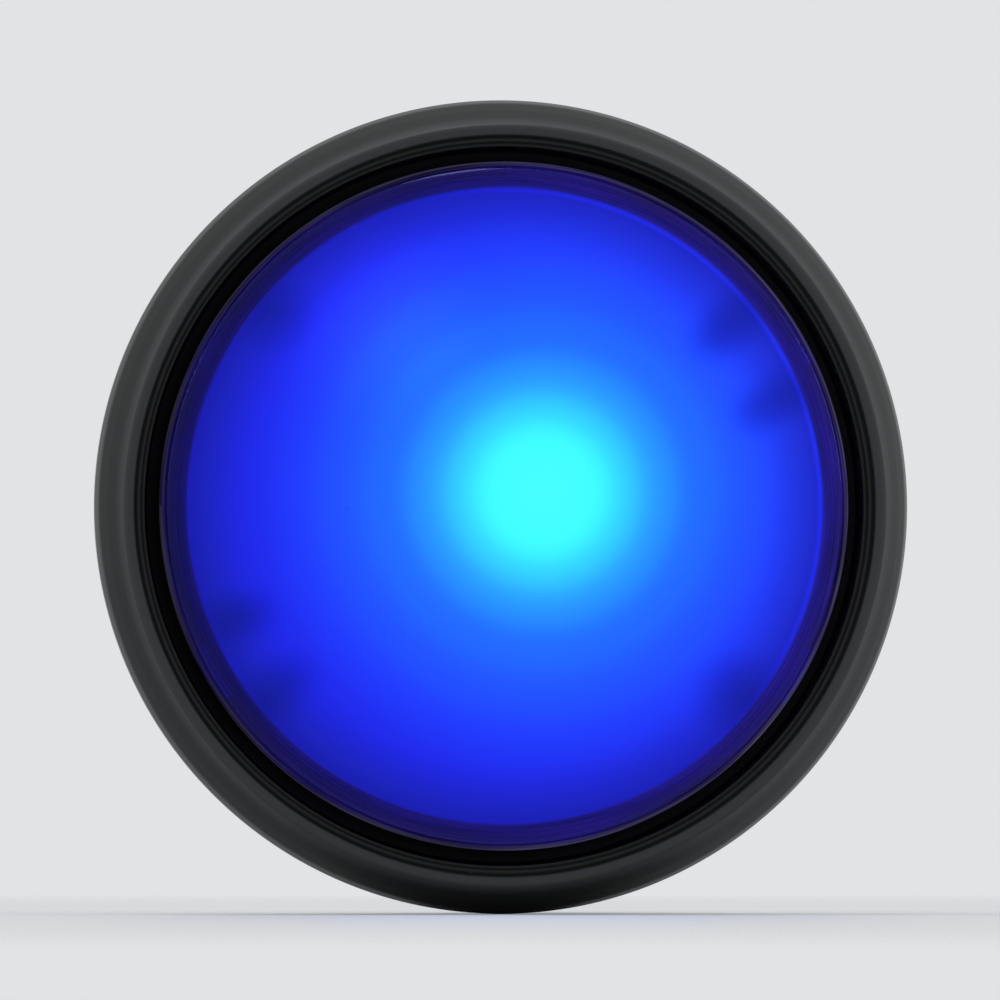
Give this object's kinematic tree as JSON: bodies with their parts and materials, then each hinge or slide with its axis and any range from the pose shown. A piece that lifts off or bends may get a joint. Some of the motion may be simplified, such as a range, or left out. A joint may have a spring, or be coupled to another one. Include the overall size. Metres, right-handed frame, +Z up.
{
  "type": "illuminated push button",
  "caption": "Large convex illuminated push button with a black flanged bezel, threaded neck and nut, blue domed lens, twist-lock lamp holder and snap-action switch.",
  "frame": {"origin": "centre of the flange's rear face, on the press axis", "axes": "-Y is the front, +Z is up, +Y runs back along the neck"},
  "size_m": [0.1, 0.0877, 0.1],
  "materials": {
    "bezel_black": "gloss moulded",
    "nut_black": "satin moulded",
    "lens_blue": "clear tinted gloss",
    "diffuser_opal": "opal, lit from behind",
    "carrier_white": "satin moulded",
    "spring_steel": "drawn wire",
    "holder_black": "satin moulded",
    "lamp_nylon": "satin moulded",
    "led_epoxy": "clear gloss",
    "lead_tin": "tinned",
    "terminal_brass": "stamped",
    "switch_black": "fine matt",
    "switch_grey": "fine matt",
    "pin_red": "gloss moulded",
    "blade_bronze": "rolled strip",
    "contact_silver": "burnished"
  },
  "bodies": {
    "bezel": {"bezel_body": "bezel_black", "return_spring": "spring_steel"},
    "dome": {"dome_lens": "lens_blue", "diffuser": "diffuser_opal", "plunger_carrier": "carrier_white"},
    "nut": {"panel_nut": "nut_black"},
    "holder": {"switch_holder": "holder_black", "lamp_base": "lamp_nylon", "led_emitter": "led_epoxy", "led_leads": "lead_tin", "lamp_terminal_upper": "terminal_brass", "lamp_terminal_lower": "terminal_brass", "switch_case": "switch_black", "switch_cover": "switch_grey", "rest_contact": "contact_silver", "work_contact": "contact_silver", "common_terminal": "terminal_brass", "rest_terminal": "terminal_brass", "work_terminal": "terminal_brass"},
    "pin": {"switch_pin": "pin_red"},
    "blade": {"snap_blade": "blade_bronze", "moving_contact": "contact_silver"}
  },
  "joints": [
    {"name": "dome_press", "type": "slide", "parent": "bezel", "child": "dome", "axis": [0, 1, 0], "range_m": [0, 0.004], "stiffness_N_per_m": 600, "springref_m": -0.004, "deforming": ["return_spring"]},
    {"name": "nut_run", "type": "slide", "parent": "bezel", "child": "nut", "axis": [0, 1, 0], "range_m": [-0.0175, 0.0065]},
    {"name": "holder_twist", "type": "hinge", "parent": "bezel", "child": "holder", "pos_m": [0, 0, 0], "axis": [0, 1, 0], "range_deg": [0, 30]},
    {"name": "pin_travel", "type": "slide", "parent": "holder", "child": "pin", "axis": [0, 1, 0], "range_m": [0, 0.001]},
    {"name": "blade_swing", "type": "hinge", "parent": "holder", "child": "blade", "pos_m": [0.0074, 0.0482, -0.0122], "axis": [-1, 0, 0], "range_deg": [0, 4.7]}
  ],
  "couplings": [
    {"joint": "pin_travel", "follows": "dome_press", "ratio": 0.25},
    {"joint": "blade_swing", "follows": "dome_press", "rad_per_m": 20.5}
  ]
}
